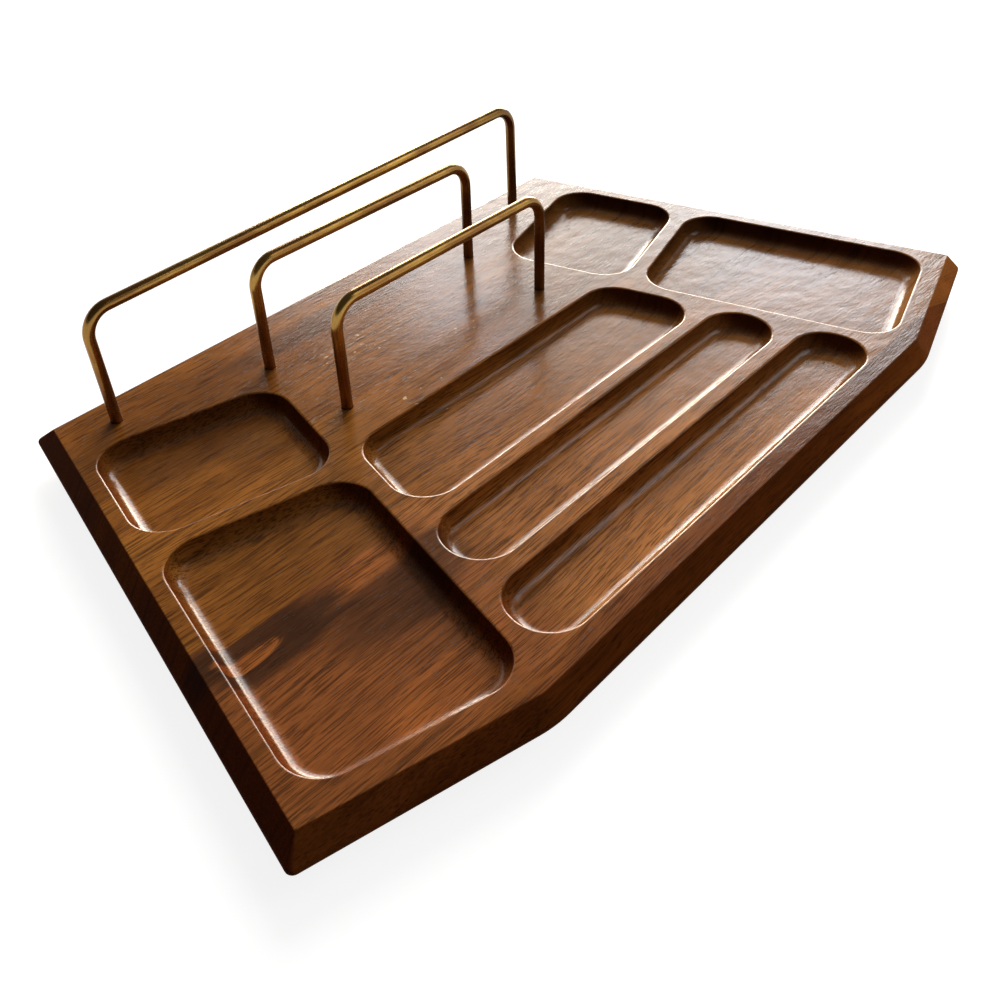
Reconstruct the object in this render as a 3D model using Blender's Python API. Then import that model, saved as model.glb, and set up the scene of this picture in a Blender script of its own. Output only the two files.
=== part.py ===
"""Desk caddy: a walnut board with routed trays and a letter rack of bent brass rods.

Metres, +Z up. The board's long axis is X, its rear edge faces +Y and its front faces -Y.
The pieces hang on an empty at deck level, in the middle of the rear top edge, so that
the whole part stands with the middle of its footprint on the world origin.
"""

import math

import bmesh
import bpy
from mathutils import Matrix, Vector

# Board: plan of the deck
WING_ANGLE = math.radians(15.0)
REAR_EDGE_LENGTH = 0.3106
SIDE_EDGE_LENGTH = 0.2282
WING_FRONT_LENGTH = 0.0857

# Board: section of its edge
BOARD_THICKNESS = 0.019
BEVEL_RUN = 0.0075
REAR_BEVEL_RUN = 0.0120
BEVEL_DROP = 0.0094
UNDERCUT_RUN = 0.0088
DECK_EDGE_RADIUS = 0.0008
WAIST_EDGE_RADIUS = 0.003
BASE_EDGE_RADIUS = 0.001
DECK_CORNER_RADIUS = 0.0006
WAIST_CORNER_RADIUS = 0.0025
WAIST_BEND_RADIUS = 0.050

# Board: staves that it is glued up from; the rear one takes the width that is left
FRONT_STAVE_WIDTH = 0.0078
MIDDLE_STAVE_WIDTH = 0.0900
GLUE_LINE = 0.0003

# Trays: the router bits that cut them
TRAY_DEPTH = 0.0078
TRAY_CORNER_RADIUS = 0.01575
COVE_RADIUS = 0.0078
RIM_RADIUS = 0.0007

# Trays of the wings, square to the wing; the large one takes its share of their length
WING_SIDE_MARGIN = 0.0065
WING_FRONT_MARGIN = 0.0096
WING_REAR_MARGIN = 0.0235
WING_TRAY_WIDTH = 0.0819
WING_TRAY_WEB = 0.0087
LARGE_TRAY_SHARE = 0.6534

# Slots between the wings, from the front edge backwards
SLOT_FRONT_MARGIN = 0.0090
FRONT_SLOT_WIDTH = 0.0327
FRONT_SLOT_WEB = 0.0084
MIDDLE_SLOT_WIDTH = 0.0319
REAR_SLOT_WEB = 0.0077
REAR_SLOT_WIDTH = 0.0489
SLOT_END_WEB = 0.0076
REAR_SLOT_END_WEB = 0.0085

# Letter rack: rods and the blind holes that they are pressed into
ROD_DIAMETER = 0.005
ROD_BEND_RADIUS = 0.011
ROD_SEAT_DEPTH = 0.013
ROD_CLEARANCE = 0.0003
REAR_RAIL_MARGIN = 0.0288
REAR_RAIL_OFFSET = -0.0082
REAR_RAIL_SETBACK = 0.0153
REAR_RAIL_HEIGHT = 0.0532
REAR_RAIL_TILT = math.radians(1.2)
MIDDLE_RAIL_SPAN = 0.1302
MIDDLE_RAIL_OFFSET = -0.0027
MIDDLE_RAIL_SETBACK = 0.0338
MIDDLE_RAIL_HEIGHT = 0.0496
FRONT_RAIL_SPAN = 0.1267
FRONT_RAIL_OFFSET = -0.0030
FRONT_RAIL_CLEARANCE = 0.0217
FRONT_RAIL_HEIGHT = 0.0481

# Bumpers under the board
FOOT_DIAMETER = 0.012
FOOT_HEIGHT = 0.002
FOOT_EDGE_RADIUS = 0.0006
FOOT_INSET = 0.020
FOOT_FILM = 0.0003

# Named overrun of every cutter past the faces that it opens
OVERRUN = 0.002

# Facets
EDGE_STEPS = 3
CORNER_STEPS = 3
TRAY_CORNER_STEPS = 8
COVE_STEPS = 6
RIM_STEPS = 2
BEND_STEPS = 8
ROD_SIDES = 20
FOOT_SIDES = 28

# Colour (linear), roughness and metallic value of each material
FINISHES = {
    "walnut_rear": ((0.190, 0.072, 0.022), 0.30, 0.0),
    "walnut_middle": ((0.160, 0.055, 0.017), 0.30, 0.0),
    "walnut_front": ((0.100, 0.034, 0.010), 0.30, 0.0),
    "brass": ((0.500, 0.300, 0.090), 0.28, 1.0),
    "rubber": ((0.020, 0.020, 0.021), 0.75, 0.0),
}


def clear_scene():
    for item in list(bpy.data.objects):
        bpy.data.objects.remove(item, do_unlink=True)


def make_material(name):
    colour, roughness, metallic = FINISHES[name]
    material = bpy.data.materials.new(name)
    material.use_nodes = True
    shader = material.node_tree.nodes["Principled BSDF"]
    shader.inputs["Base Color"].default_value = (*colour, 1.0)
    shader.inputs["Roughness"].default_value = roughness
    shader.inputs["Metallic"].default_value = metallic
    material.diffuse_color = (*colour, 1.0)
    return material


def add_object(name, data, parent, material=None):
    item = bpy.data.objects.new(name, data)
    bpy.context.scene.collection.objects.link(item)
    item.parent = parent
    if material is not None:
        data.materials.append(material)
    return item


# Outlines


def along(angle):
    return Vector((math.cos(angle), math.sin(angle)))


def meet(point_a, way_a, point_b, way_b):
    """Point where two lines cross."""
    gap = point_b - point_a
    reach = gap.cross(way_b) / way_a.cross(way_b)
    return point_a + way_a * reach


def offset_outline(points, outsets):
    """Anticlockwise outline with side i, from point i to the next, moved outwards."""
    count = len(points)
    lines = []
    for index, point in enumerate(points):
        way = (points[(index + 1) % count] - point).normalized()
        outward = Vector((way.y, -way.x))
        lines.append((point + outward * outsets[index], way))
    return [meet(*lines[index - 1], *lines[index]) for index in range(count)]


def corner_turns(points):
    """Half the turn of an anticlockwise outline at each corner, and the way in to it."""
    turns = []
    count = len(points)
    for index, point in enumerate(points):
        into = (point - points[index - 1]).normalized()
        out = (points[(index + 1) % count] - point).normalized()
        turns.append((math.atan2(into.cross(out), into.dot(out)) / 2.0, into))
    return turns


def largest_radius(points):
    """Largest radius that all the corners of an outline can share."""
    turns = [abs(math.tan(half)) for half, into in corner_turns(points)]
    count = len(points)
    limits = []
    for index, point in enumerate(points):
        after = (index + 1) % count
        limits.append((points[after] - point).length / (turns[index] + turns[after]))
    return min(limits)


def corner_centres(points, radius):
    """Centre, first angle and turn of the arc that rounds each corner."""
    arcs = []
    for point, (half, into) in zip(points, corner_turns(points)):
        outward = Vector((into.y, -into.x))
        start = point - into * radius * math.tan(half)
        arcs.append((start - outward * radius, math.atan2(outward.y, outward.x), half * 2.0))
    return arcs


def round_outline(points, radii, steps):
    """Outline with an arc of its own radius at each corner."""
    outline = []
    for index, radius in enumerate(radii):
        centre, first, turn = corner_centres(points, radius)[index]
        for step in range(steps + 1):
            outline.append(centre + along(first + turn * step / steps) * radius)
    return outline


def loft(name, sections):
    """Closed body through outlines of equal counts, each given with its height."""
    work = bmesh.new()
    loops = []
    for outline, height in sections:
        loops.append([work.verts.new((point.x, point.y, height)) for point in outline])
    for lower, upper in zip(loops, loops[1:]):
        count = len(lower)
        for index in range(count):
            after = (index + 1) % count
            work.faces.new((lower[index], lower[after], upper[after], upper[index]))
    work.faces.new(reversed(loops[0]))
    work.faces.new(loops[-1])
    bmesh.ops.recalc_face_normals(work, faces=work.faces)
    mesh = bpy.data.meshes.new(name)
    work.to_mesh(mesh)
    work.free()
    return mesh


def smooth(mesh, angle=math.radians(30.0)):
    mesh.shade_smooth()
    mesh.set_sharp_from_angle(angle=angle)


# Board


def deck_outline():
    """Sharp corners of the deck, anticlockwise from the rear left one."""
    side = Vector((-math.sin(WING_ANGLE), -math.cos(WING_ANGLE)))
    front = Vector((math.cos(WING_ANGLE), -math.sin(WING_ANGLE)))
    rear_left = Vector((-REAR_EDGE_LENGTH / 2.0, 0.0))
    wing_left = rear_left + side * SIDE_EDGE_LENGTH
    bend_left = wing_left + front * WING_FRONT_LENGTH
    left = [rear_left, wing_left, bend_left]
    right = [Vector((-point.x, point.y)) for point in reversed(left)]
    return left + right


def edge_turn(corner, first, last, radius, steps):
    """Arc of the board's edge section between faces whose normals have these angles.

    Points are (outset, depth). An angle is 90 degrees up on the deck, 0 outwards.
    """
    half = (first - last) / 2.0
    middle = (first + last) / 2.0
    reach = radius / math.cos(half)
    outset = corner[0] - reach * math.cos(middle)
    depth = corner[1] + reach * math.sin(middle)
    points = []
    for step in range(steps + 1):
        angle = first + (last - first) * step / steps
        points.append((outset + radius * math.cos(angle), depth - radius * math.sin(angle)))
    return points


def edge_section():
    """Outset and depth of the board's edge, from the deck down to the underside."""
    bevel = math.atan2(BEVEL_RUN, BEVEL_DROP)
    under_drop = BOARD_THICKNESS - BEVEL_DROP
    undercut = -math.atan2(UNDERCUT_RUN, under_drop)
    up = math.pi / 2.0
    waist = (BEVEL_RUN, BEVEL_DROP)
    base = (BEVEL_RUN - UNDERCUT_RUN, BOARD_THICKNESS)
    section = edge_turn((0.0, 0.0), up, bevel, DECK_EDGE_RADIUS, EDGE_STEPS)
    section += edge_turn(waist, bevel, undercut, WAIST_EDGE_RADIUS, 2 * EDGE_STEPS)
    section += edge_turn(base, undercut, -up, BASE_EDGE_RADIUS, EDGE_STEPS)
    return section


def waist_point():
    """Outset and depth of the widest point of the edge section."""
    return max(edge_section())


def rear_outset(outset, depth):
    """Outset on the rear edge, whose bevel is the wider one."""
    widest, waist_depth = waist_point()
    rear_widest = widest * REAR_BEVEL_RUN / BEVEL_RUN
    if depth < waist_depth:
        return outset * REAR_BEVEL_RUN / BEVEL_RUN
    return outset + rear_widest - widest


def board_blank():
    """The glued-up board before any tray is cut."""
    corners = deck_outline()
    waist_depth = waist_point()[1]
    sections = []
    for outset, depth in reversed(edge_section()):
        outsets = [outset] * (len(corners) - 1) + [rear_outset(outset, depth)]
        share = min(depth / waist_depth, 1.0)
        sharp = DECK_CORNER_RADIUS + (WAIST_CORNER_RADIUS - DECK_CORNER_RADIUS) * share
        bend = DECK_CORNER_RADIUS + (WAIST_BEND_RADIUS - DECK_CORNER_RADIUS) * share
        radii = [sharp, sharp, bend, bend, sharp, sharp]
        outline = round_outline(offset_outline(corners, outsets), radii, CORNER_STEPS)
        sections.append((outline, -depth))
    return loft("board_blank", sections)


# Trays


def tray_cutter(name, corners):
    """Solid that a coved bit sweeps inside a straight-sided outline."""
    radius = min(TRAY_CORNER_RADIUS, largest_radius(corners))
    cove = min(COVE_RADIUS, radius)
    wall = TRAY_DEPTH - RIM_RADIUS - cove
    top = math.acos(max(-wall / cove, 0.0))
    arcs = corner_centres(corners, radius)

    def ring(inset):
        points = []
        for centre, first, turn in arcs:
            for step in range(TRAY_CORNER_STEPS + 1):
                way = along(first + turn * step / TRAY_CORNER_STEPS)
                points.append(centre + way * (radius - inset))
        return points

    sections = []
    for step in range(COVE_STEPS):
        angle = top * step / COVE_STEPS
        inset = cove * (math.sin(top) - math.sin(angle))
        sections.append((ring(inset), -TRAY_DEPTH + cove * (1.0 - math.cos(angle))))
    if wall > 0.0:
        sections.append((ring(0.0), -TRAY_DEPTH + cove))
    rim_step = math.pi / 2.0 / RIM_STEPS
    for step in range(RIM_STEPS):
        outset = RIM_RADIUS * (1.0 - math.cos(rim_step * step))
        sections.append((ring(-outset), RIM_RADIUS * (math.sin(rim_step * step) - 1.0)))
    above = OVERRUN * math.tan(rim_step / 2.0)
    sections.append((ring(-RIM_RADIUS - OVERRUN), above))
    return loft(name, sections)


def wing_point(side, from_side, from_front):
    """Point of a wing, measured square to its side edge and to its front edge."""
    corner = deck_outline()[1]
    inward = Vector((math.cos(WING_ANGLE), -math.sin(WING_ANGLE)))
    backward = Vector((math.sin(WING_ANGLE), math.cos(WING_ANGLE)))
    point = corner + inward * from_side + backward * from_front
    return Vector((point.x * -side, point.y))


def wing_tray(side, from_front, length):
    """Corners of a tray of the left (-1) or right (1) wing, anticlockwise."""
    outer = WING_SIDE_MARGIN
    inner = outer + WING_TRAY_WIDTH
    rear = from_front + length
    places = [(outer, from_front), (inner, from_front), (inner, rear), (outer, rear)]
    corners = [wing_point(side, *place) for place in places]
    if side > 0:
        corners.reverse()
    return corners


def slot(front, width, end_web):
    """Corners of a slot whose ends keep a web to the trays of the wings."""
    reach = WING_SIDE_MARGIN + WING_TRAY_WIDTH + end_web
    start = wing_point(-1, reach, 0.0)
    way = Vector((math.sin(WING_ANGLE), math.cos(WING_ANGLE)))
    level = Vector((1.0, 0.0))
    low = meet(start, way, Vector((0.0, front)), level)
    high = meet(start, way, Vector((0.0, front + width)), level)
    return [low, Vector((-low.x, low.y)), Vector((-high.x, high.y)), high]


def slot_fronts():
    """Places of the slots' front sides: front, middle and rear slot."""
    front_slot = deck_outline()[2].y + SLOT_FRONT_MARGIN
    middle_slot = front_slot + FRONT_SLOT_WIDTH + FRONT_SLOT_WEB
    rear_slot = middle_slot + MIDDLE_SLOT_WIDTH + REAR_SLOT_WEB
    return front_slot, middle_slot, rear_slot


def tray_outlines():
    front_slot, middle_slot, rear_slot = slot_fronts()
    outlines = {
        "front_slot": slot(front_slot, FRONT_SLOT_WIDTH, SLOT_END_WEB),
        "middle_slot": slot(middle_slot, MIDDLE_SLOT_WIDTH, SLOT_END_WEB),
        "rear_slot": slot(rear_slot, REAR_SLOT_WIDTH, REAR_SLOT_END_WEB),
    }
    margins = WING_FRONT_MARGIN + WING_REAR_MARGIN + WING_TRAY_WEB
    room = SIDE_EDGE_LENGTH - margins
    large_length = room * LARGE_TRAY_SHARE
    small_front = WING_FRONT_MARGIN + large_length + WING_TRAY_WEB
    for side, hand in ((-1, "left"), (1, "right")):
        large = wing_tray(side, WING_FRONT_MARGIN, large_length)
        small = wing_tray(side, small_front, room - large_length)
        outlines[hand + "_large_tray"] = large
        outlines[hand + "_small_tray"] = small
    return outlines


# Letter rack


def rails():
    """Span, place on the deck, height and tilt of each rod of the rack."""
    rear_span = REAR_EDGE_LENGTH - 2.0 * REAR_RAIL_MARGIN
    slots_rear = slot_fronts()[2] + REAR_SLOT_WIDTH
    rear = Vector((REAR_RAIL_OFFSET, -REAR_RAIL_SETBACK, 0.0))
    middle = Vector((MIDDLE_RAIL_OFFSET, -MIDDLE_RAIL_SETBACK, 0.0))
    front = Vector((FRONT_RAIL_OFFSET, slots_rear + FRONT_RAIL_CLEARANCE, 0.0))
    return {
        "rear_rail": (rear_span, rear, REAR_RAIL_HEIGHT, REAR_RAIL_TILT),
        "middle_rail": (MIDDLE_RAIL_SPAN, middle, MIDDLE_RAIL_HEIGHT, 0.0),
        "front_rail": (FRONT_RAIL_SPAN, front, FRONT_RAIL_HEIGHT, 0.0),
    }


def rail_stance(place, tilt):
    """Turn and move from a rod's own axes to its place; a tilted rod's right end is up."""
    return Matrix.Translation(place) @ Matrix.Rotation(-tilt, 4, "Y")


def rod_path(span, height):
    """Centre line of a rod: down a post, along the bar and down the other post."""
    radius = min(ROD_BEND_RADIUS, span / 2.0)
    foot = -ROD_SEAT_DEPTH
    half = span / 2.0
    path = [Vector((-half, 0.0, foot))]
    for side in (-1, 1):
        centre = Vector((side * (half - radius), 0.0, height - radius))
        for step in range(BEND_STEPS + 1):
            angle = math.pi / 2.0 * step / BEND_STEPS
            if side > 0:
                angle = math.pi / 2.0 - angle
            spoke = Vector((side * math.cos(angle), 0.0, math.sin(angle)))
            path.append(centre + spoke * radius)
    path.append(Vector((half, 0.0, foot)))
    return path


def rod_mesh(name, path):
    """Round rod along a path that lies in the XZ plane."""
    work = bmesh.new()
    rings = []
    for index, point in enumerate(path):
        before = path[max(index - 1, 0)]
        after = path[min(index + 1, len(path) - 1)]
        way = (after - before).normalized()
        across = Vector((0.0, 1.0, 0.0))
        lift = across.cross(way)
        ring = []
        for side in range(ROD_SIDES):
            angle = math.tau * side / ROD_SIDES
            spoke = across * math.cos(angle) + lift * math.sin(angle)
            ring.append(work.verts.new(point + spoke * ROD_DIAMETER / 2.0))
        rings.append(ring)
    for near, far in zip(rings, rings[1:]):
        for side in range(ROD_SIDES):
            after = (side + 1) % ROD_SIDES
            work.faces.new((near[side], near[after], far[after], far[side]))
    work.faces.new(rings[0])
    work.faces.new(rings[-1])
    bmesh.ops.recalc_face_normals(work, faces=work.faces)
    mesh = bpy.data.meshes.new(name)
    work.to_mesh(mesh)
    work.free()
    smooth(mesh, math.radians(50.0))
    return mesh


def circle(centre, radius, sides):
    return [centre + along(math.tau * index / sides) * radius for index in range(sides)]


def seat_cutter(name, span, place, tilt, side):
    """Blind hole for one end of a rod, bored along its post."""
    radius = ROD_DIAMETER / 2.0 + ROD_CLEARANCE
    outline = circle(Vector((side * span / 2.0, 0.0)), radius, ROD_SIDES)
    depth = ROD_SEAT_DEPTH + ROD_CLEARANCE
    mouth = span * math.sin(tilt) + OVERRUN
    mesh = loft(name, [(outline, -depth), (outline, mouth)])
    mesh.transform(rail_stance(place, tilt))
    return mesh


# Bumpers


def foot_mesh(name):
    """Round rubber bumper, hung below its place on the underside."""
    radius = FOOT_DIAMETER / 2.0
    sections = []
    for step in range(EDGE_STEPS + 1):
        angle = math.pi / 2.0 * step / EDGE_STEPS
        narrowed = radius - FOOT_EDGE_RADIUS * (1.0 - math.sin(angle))
        height = -FOOT_HEIGHT + FOOT_EDGE_RADIUS * (1.0 - math.cos(angle))
        sections.append((circle(Vector((0.0, 0.0)), narrowed, FOOT_SIDES), height))
    sections.append((circle(Vector((0.0, 0.0)), radius, FOOT_SIDES), 0.0))
    mesh = loft(name, sections)
    smooth(mesh)
    return mesh


def foot_places():
    """Centres of the bumpers, set in from the edges of the underside."""
    base_inset = UNDERCUT_RUN - BEVEL_RUN
    inset = FOOT_INSET + base_inset
    rear_left = deck_outline()[0]
    side = Vector((math.sin(WING_ANGLE), math.cos(WING_ANGLE)))
    inward = Vector((math.cos(WING_ANGLE), -math.sin(WING_ANGLE)))
    level = Vector((1.0, 0.0))
    rear = meet(rear_left + inward * inset, side, Vector((0.0, -inset)), level)
    front = wing_point(-1, inset, inset)
    return {
        "rear_left_foot": rear,
        "rear_right_foot": Vector((-rear.x, rear.y)),
        "front_left_foot": front,
        "front_right_foot": Vector((-front.x, front.y)),
    }


# Assembly


def join_cutters(name, meshes, parent):
    """One hidden cutter from several closed meshes that stand apart."""
    work = bmesh.new()
    for mesh in meshes:
        work.from_mesh(mesh)
    joined = bpy.data.meshes.new(name)
    work.to_mesh(joined)
    work.free()
    return hide_cutter(add_object(name, joined, parent))


def hide_cutter(cutter):
    cutter.hide_render = True
    cutter.display_type = "WIRE"
    return cutter


def slab_cutter(name, rear, front, parent):
    """Block that a stave fills between two glue lines."""
    reach = REAR_EDGE_LENGTH / 2.0 + SIDE_EDGE_LENGTH + WING_FRONT_LENGTH
    corners = [(-reach, front), (reach, front), (reach, rear), (-reach, rear)]
    outline = [Vector(corner) for corner in corners]
    levels = (-BOARD_THICKNESS - OVERRUN, OVERRUN)
    mesh = loft(name, [(outline, level) for level in levels])
    return hide_cutter(add_object(name, mesh, parent))


def cut(item, cutter, operation):
    modifier = item.modifiers.new(cutter.name, "BOOLEAN")
    modifier.operation = operation
    modifier.solver = "EXACT"
    modifier.object = cutter


def build_board(deck):
    """Three staves of one blank, with the trays and the rods' seats cut."""
    blank = board_blank()
    smooth(blank)
    trays = []
    for name, corners in tray_outlines().items():
        mesh = tray_cutter(name, corners)
        smooth(mesh)
        trays.append(mesh)
    tray_set = join_cutters("tray_cutters", trays, deck)
    seats = []
    for name, (span, place, height, tilt) in rails().items():
        for side in (-1, 1):
            seats.append(seat_cutter(name + "_seat", span, place, tilt, side))
    seat_set = join_cutters("seat_cutters", seats, deck)
    widest = waist_point()[0] + REAR_BEVEL_RUN + OVERRUN
    front_edge = deck_outline()[2].y
    front_line = front_edge + FRONT_STAVE_WIDTH
    rear_line = front_line + MIDDLE_STAVE_WIDTH
    half_line = GLUE_LINE / 2.0
    staves = {
        "rear_stave": (widest, rear_line + half_line, "walnut_rear"),
        "middle_stave": (rear_line - half_line, front_line + half_line, "walnut_middle"),
        "front_stave": (front_line - half_line, front_edge - widest, "walnut_front"),
    }
    for name, (rear, front, finish) in staves.items():
        stave = add_object(name, blank.copy(), deck, make_material(finish))
        slab = slab_cutter(name + "_slab", rear, front, deck)
        cut(stave, slab, "INTERSECT")
        cut(stave, tray_set, "DIFFERENCE")
        cut(stave, seat_set, "DIFFERENCE")


def build_rack(deck):
    brass = make_material("brass")
    for name, (span, place, height, tilt) in rails().items():
        rail = add_object(name, rod_mesh(name, rod_path(span, height)), deck, brass)
        rail.matrix_local = rail_stance(place, tilt)


def build_feet(deck):
    rubber = make_material("rubber")
    for name, place in foot_places().items():
        foot = add_object(name, foot_mesh(name), deck, rubber)
        foot.location = (place.x, place.y, -BOARD_THICKNESS - FOOT_FILM)


def place_deck():
    """Empty at deck level that centres the footprint on the origin."""
    widest = waist_point()[0]
    rear = widest * REAR_BEVEL_RUN / BEVEL_RUN
    front = deck_outline()[2].y - widest
    height = BOARD_THICKNESS + FOOT_FILM + FOOT_HEIGHT
    deck = bpy.data.objects.new("deck", None)
    bpy.context.scene.collection.objects.link(deck)
    deck.matrix_world = Matrix.Translation((0.0, -(rear + front) / 2.0, height))
    return deck


def main():
    clear_scene()
    deck = place_deck()
    build_board(deck)
    build_rack(deck)
    build_feet(deck)


main()
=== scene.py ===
"""Looks of the desk caddy: a walnut board with routed trays and a rack of brass rods.

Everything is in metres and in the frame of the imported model: the board's long axis is
X, its front faces -Y, and the bumpers stand on the plane z = 0.
"""

import math
from collections import namedtuple

import bmesh
import bpy
from mathutils import Matrix, Vector


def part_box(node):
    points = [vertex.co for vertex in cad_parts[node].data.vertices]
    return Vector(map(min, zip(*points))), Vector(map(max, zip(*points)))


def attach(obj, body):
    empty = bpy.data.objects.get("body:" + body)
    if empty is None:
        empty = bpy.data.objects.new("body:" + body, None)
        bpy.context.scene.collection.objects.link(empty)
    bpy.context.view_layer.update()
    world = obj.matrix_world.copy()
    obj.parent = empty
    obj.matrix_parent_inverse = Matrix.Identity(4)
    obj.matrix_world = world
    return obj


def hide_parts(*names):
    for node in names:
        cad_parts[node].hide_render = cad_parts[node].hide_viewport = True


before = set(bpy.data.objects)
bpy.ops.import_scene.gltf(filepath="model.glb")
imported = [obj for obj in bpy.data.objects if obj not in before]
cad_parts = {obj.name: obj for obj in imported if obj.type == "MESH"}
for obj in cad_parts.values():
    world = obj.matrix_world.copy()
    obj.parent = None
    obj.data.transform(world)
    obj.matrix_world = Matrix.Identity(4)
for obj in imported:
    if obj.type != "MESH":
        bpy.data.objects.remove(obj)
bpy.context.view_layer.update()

# Oval place in the wood, given by its middle, its half length and its half width. share
# is how much its tone covers, swell how far a knot moves the rings there, and flecks
# breaks the tone up.
Patch = namedtuple(
    "Patch", "x y length width tone share swell flecks", defaults=(1.0, 0.0, False)
)

# Soft panel that faces the board. Its azimuth turns from +X towards +Y, in degrees like
# its elevation, and mirrored says whether the brass and the polish show it.
Lamp = namedtuple(
    "Lamp",
    "name azimuth elevation distance width height radiance colour mirrored",
    defaults=(True,),
)

# Board: plan of the deck
WING_ANGLE = math.radians(15.0)
REAR_EDGE_LENGTH = 0.3106
SIDE_EDGE_LENGTH = 0.2282
WING_FRONT_LENGTH = 0.0857

# Board: section of its edge
BOARD_THICKNESS = 0.019
BEVEL_RUN = 0.0075
REAR_BEVEL_RUN = 0.0120
BEVEL_DROP = 0.0094
UNDERCUT_RUN = 0.0088
DECK_EDGE_RADIUS = 0.0008
WAIST_EDGE_RADIUS = 0.003
BASE_EDGE_RADIUS = 0.001
DECK_CORNER_RADIUS = 0.0006
WAIST_CORNER_RADIUS = 0.0025
WAIST_BEND_RADIUS = 0.050

# Board: staves that it is glued up from
FRONT_STAVE_WIDTH = 0.0078
MIDDLE_STAVE_WIDTH = 0.0900
GLUE_LINE = 0.00004

# Trays: the router bit that cuts them, and their sanded rims
TRAY_DEPTH = 0.0078
TRAY_CORNER_RADIUS = 0.01575
COVE_RADIUS = 0.0078
RIM_DEPTH = 0.0007
RIM_WIDTH = 0.0012

# Trays of the wings, square to the wing
WING_SIDE_MARGIN = 0.0065
WING_FRONT_MARGIN = 0.0096
WING_REAR_MARGIN = 0.0235
WING_TRAY_WIDTH = 0.0819
WING_TRAY_WEB = 0.0087
LARGE_TRAY_SHARE = 0.6534

# Slots between the wings, from the front edge backwards
SLOT_FRONT_MARGIN = 0.0090
FRONT_SLOT_WIDTH = 0.0327
FRONT_SLOT_WEB = 0.0084
MIDDLE_SLOT_WIDTH = 0.0319
REAR_SLOT_WEB = 0.0077
REAR_SLOT_WIDTH = 0.0489
SLOT_END_WEB = 0.0076
REAR_SLOT_END_WEB = 0.0085

# Letter rack
ROD_DIAMETER = 0.005
ROD_BEND_RADIUS = 0.011
ROD_SEAT_DEPTH = 0.013
ROD_CLEARANCE = 0.0001
REAR_RAIL_MARGIN = 0.0288
REAR_RAIL_OFFSET = -0.0082
REAR_RAIL_SETBACK = 0.0153
REAR_RAIL_HEIGHT = 0.0532
REAR_RAIL_TILT = math.radians(1.2)
MIDDLE_RAIL_SPAN = 0.1302
MIDDLE_RAIL_OFFSET = -0.0027
MIDDLE_RAIL_SETBACK = 0.0338
MIDDLE_RAIL_HEIGHT = 0.0496
FRONT_RAIL_SPAN = 0.1267
FRONT_RAIL_OFFSET = -0.0030
FRONT_RAIL_CLEARANCE = 0.0217
FRONT_RAIL_HEIGHT = 0.0481

# Bumpers
FOOT_DIAMETER = 0.012
FOOT_EDGE_RADIUS = 0.0006

# Cutters: how far they pass the surface that they cut
OVERRUN = 0.002

# Facets and shading
EDGE_STEPS = 6
CORNER_STEPS = 6
TRAY_CORNER_STEPS = 20
COVE_STEPS = 16
RIM_STEPS = 7
BEND_STEPS = 16
ROD_SIDES = 48
FOOT_SIDES = 64
SHARP_ANGLE = math.radians(32.0)
DECK_SLOPE_LIMIT = math.radians(15.0)
MERGE_DISTANCE = 1e-7
LEVEL_FACE_WEIGHT = 80

# Walnut: repeats per metre along the board, across it and through it
SLOW_WANDER = (5.0, 9.0, 9.0)
QUICK_WANDER = (22.0, 60.0, 60.0)
LINES = (56.0, 1900.0, 1900.0)
HAIRS = (90.0, 2600.0, 2600.0)
FIGURE = (60.0, 40.0, 40.0)
PORES = (150.0, 1300.0, 1300.0)
RIPPLES = (240.0, 1100.0, 1100.0)
FLECKS = (330.0, 420.0, 420.0)
SWELLS = (90.0, 130.0, 130.0)

# Walnut: repeats per metre along the board and over its rings
BROAD_RINGS = (3.0, 36.0, 1.0)
STREAKS = (7.0, 360.0, 60.0)

# Walnut: how far its grain wanders
SLOW_SWAY = 0.020
QUICK_SWAY = 0.0022
SWAY_IN_DEPTH = 0.5

# Walnut: values of a pattern at which its mark starts and is full
BROAD_STEP = (0.34, 0.64)
STREAK_STEP = (0.50, 0.72)
LINE_STEP = (0.51, 0.59)
FLECK_STEP = (0.68, 0.74)
PORE_STEP = (0.34, 0.16)
PORE_ZONE = (0.35, 0.6, 0.5, 1.0)
OVAL_STEP = (1.0, 0.4)

# Walnut: how much each mark darkens. The lines are fainter on the board's far side,
# the right one in the camera's view, as painted glare, and on its edges.
STREAK_SHARE = 0.45
LINE_SHARE = 0.62
FAR_GLARE_LINE_LOSS = 0.40
LINE_LOSS_EDGE = 0.26
PLAIN_TONE = 0.40
HAIR_TONE = 0.50
FIGURE_TONE = 0.62
PORE_TONE = 0.50
BROAD_FRAY = 1.2
STREAK_FRAY = 1.2
LINE_FRAY = 0.8

# Walnut: where a part starts and is full, as X for the far side, as one component of
# the face's normal for the next four, and as the facing of the view for grazing
FAR_SIDE = (-0.05, 0.16)
FACES_AWAY = (0.25, 0.60)
END_GRAIN = (0.35, 0.85)
STEEP = (0.90, 0.74)
LEVEL = (0.985, 0.998)
GRAZING = (0.615, 0.70, 0.0, 0.8)

# Walnut: painted shade on the far side, tint of the edges, painted shade on those
# of the edges that face away, and tint of end grain
FAR_PAINTED_SHADE = (0.44, 0.47, 0.62)
EDGE_TINT = (0.95, 0.78, 0.62)
AWAY_PAINTED_SHADE = (0.50, 0.62, 0.90)
END_GRAIN_TINT = (0.50, 0.34, 0.28)

# Walnut: relief, and how rough it is where it is polished and where it is not
WOOD_RELIEF = 0.00006
RIPPLE_GAIN_FAR = 0.5
SWELL_GAIN_FAR = 4.0
LINE_RELIEF = 0.30
HAIR_RELIEF = 0.20
PORE_RELIEF = 0.2
POLISHED_ROUGH = 0.12
POLISHED_RIPPLE = 0.08
POLISHED_PORE = 0.15
DULL_ROUGH = 0.5
DULL_RIPPLE = 0.2
DULL_SPECULAR = 0.01

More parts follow.
